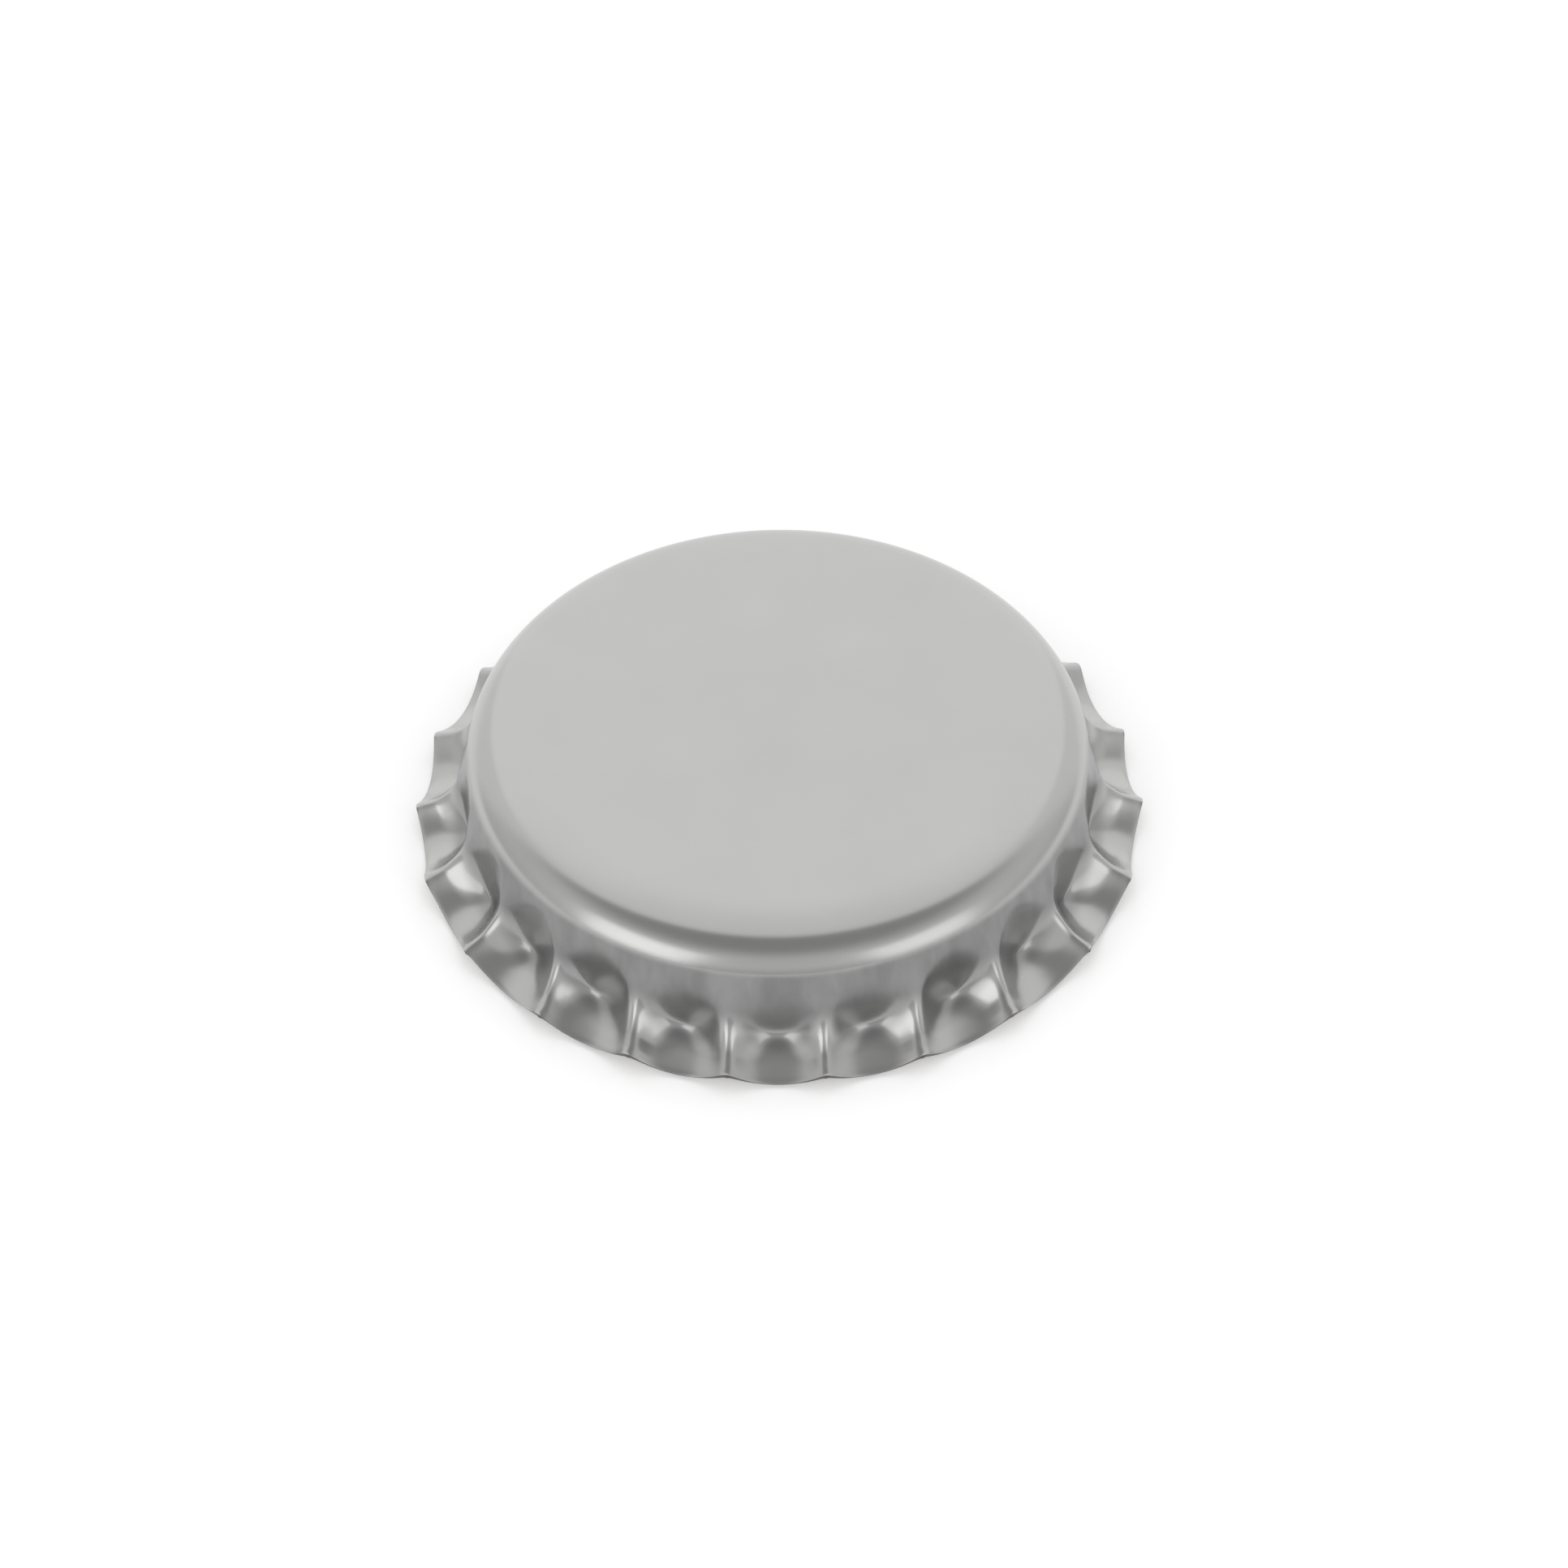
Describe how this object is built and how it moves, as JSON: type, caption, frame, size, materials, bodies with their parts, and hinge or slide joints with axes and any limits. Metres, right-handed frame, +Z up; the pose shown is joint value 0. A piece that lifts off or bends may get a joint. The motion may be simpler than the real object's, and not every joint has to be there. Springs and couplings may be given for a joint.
{
  "type": "bottle cap",
  "caption": "Pressed sheet-metal bottle cap: flat round top, rounded shoulder and a fluted, outward-flared skirt, with a moulded sealing liner inside.",
  "frame": {"origin": "centre of the rim plane that the cap stands on", "axes": "+Z up through the cap's axis to its flat top, -Y towards the middle of one flute, +X towards the crest of one ridge"},
  "size_m": [0.032, 0.0318, 0.006],
  "materials": {
    "plated_sheet": "satin lacquered",
    "liner_plastic": "smooth, slightly translucent"
  },
  "bodies": {
    "root": {"cap_shell": "plated_sheet", "sealing_liner": "liner_plastic"}
  },
  "joints": []
}
